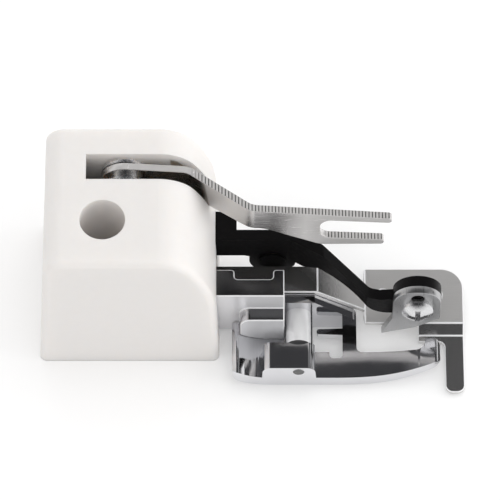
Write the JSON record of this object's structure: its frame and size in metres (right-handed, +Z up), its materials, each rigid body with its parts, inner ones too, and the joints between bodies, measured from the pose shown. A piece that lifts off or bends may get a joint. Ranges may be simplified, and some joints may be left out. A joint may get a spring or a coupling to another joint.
{
  "type": "sewing machine presser foot",
  "caption": "Side-cutter presser foot with a white housing, a forked steel lever, a black knife arm and a chrome sole with a clip bar.",
  "frame": {"origin": "centre of the bounding box in plan, on the plane that the sole rests on", "axes": "+X along the seam towards the knife, +Y across to the far side, +Z up"},
  "size_m": [0.061, 0.0282, 0.0276],
  "materials": {
    "white_plastic": "smooth moulded, soft sheen",
    "chrome": "bright plated casting",
    "brushed_sheet": "brushed sheet",
    "nickel_steel": "nickel plated, satin",
    "blade_steel": "ground blade",
    "black_metal": "satin black oxide",
    "zinc_steel": "bright zinc",
    "spring_steel": "dark spring steel",
    "bronze": "sintered bronze"
  },
  "bodies": {
    "body": {"housing": "white_plastic", "base_plate": "zinc_steel", "base_screws": "zinc_steel", "housing_screw": "zinc_steel", "foot_frame": "chrome", "sole": "chrome", "sole_screws": "zinc_steel", "snap_bar": "chrome", "lower_knife": "brushed_sheet", "strip_screws": "zinc_steel", "lever_shaft": "zinc_steel", "shaft_clip": "spring_steel", "lever_washer": "zinc_steel", "arm_pivot_pin": "black_metal", "pivot_clip": "spring_steel", "arm_washer": "zinc_steel"},
    "lever": {"fork_lever": "nickel_steel", "lever_hub": "zinc_steel", "crank": "zinc_steel"},
    "arm": {"knife_arm": "black_metal", "arm_bush": "bronze", "knife_ring": "nickel_steel", "moving_knife": "blade_steel", "knife_dowel": "black_metal", "knife_screw": "zinc_steel"}
  },
  "joints": [
    {"name": "lever_swing", "type": "hinge", "parent": "body", "child": "lever", "pos_m": [-0.0179, 0.0075, 0.0235], "axis": [0, -1, 0], "range_deg": [0, 48]},
    {"name": "knife_swing", "type": "hinge", "parent": "body", "child": "arm", "pos_m": [0.0029, 0.004, 0.0087], "axis": [0, -1, 0], "range_deg": [0, 8.74]}
  ],
  "couplings": [
    {"joint": "knife_swing", "follows": "lever_swing", "ratio": 0.1811}
  ]
}
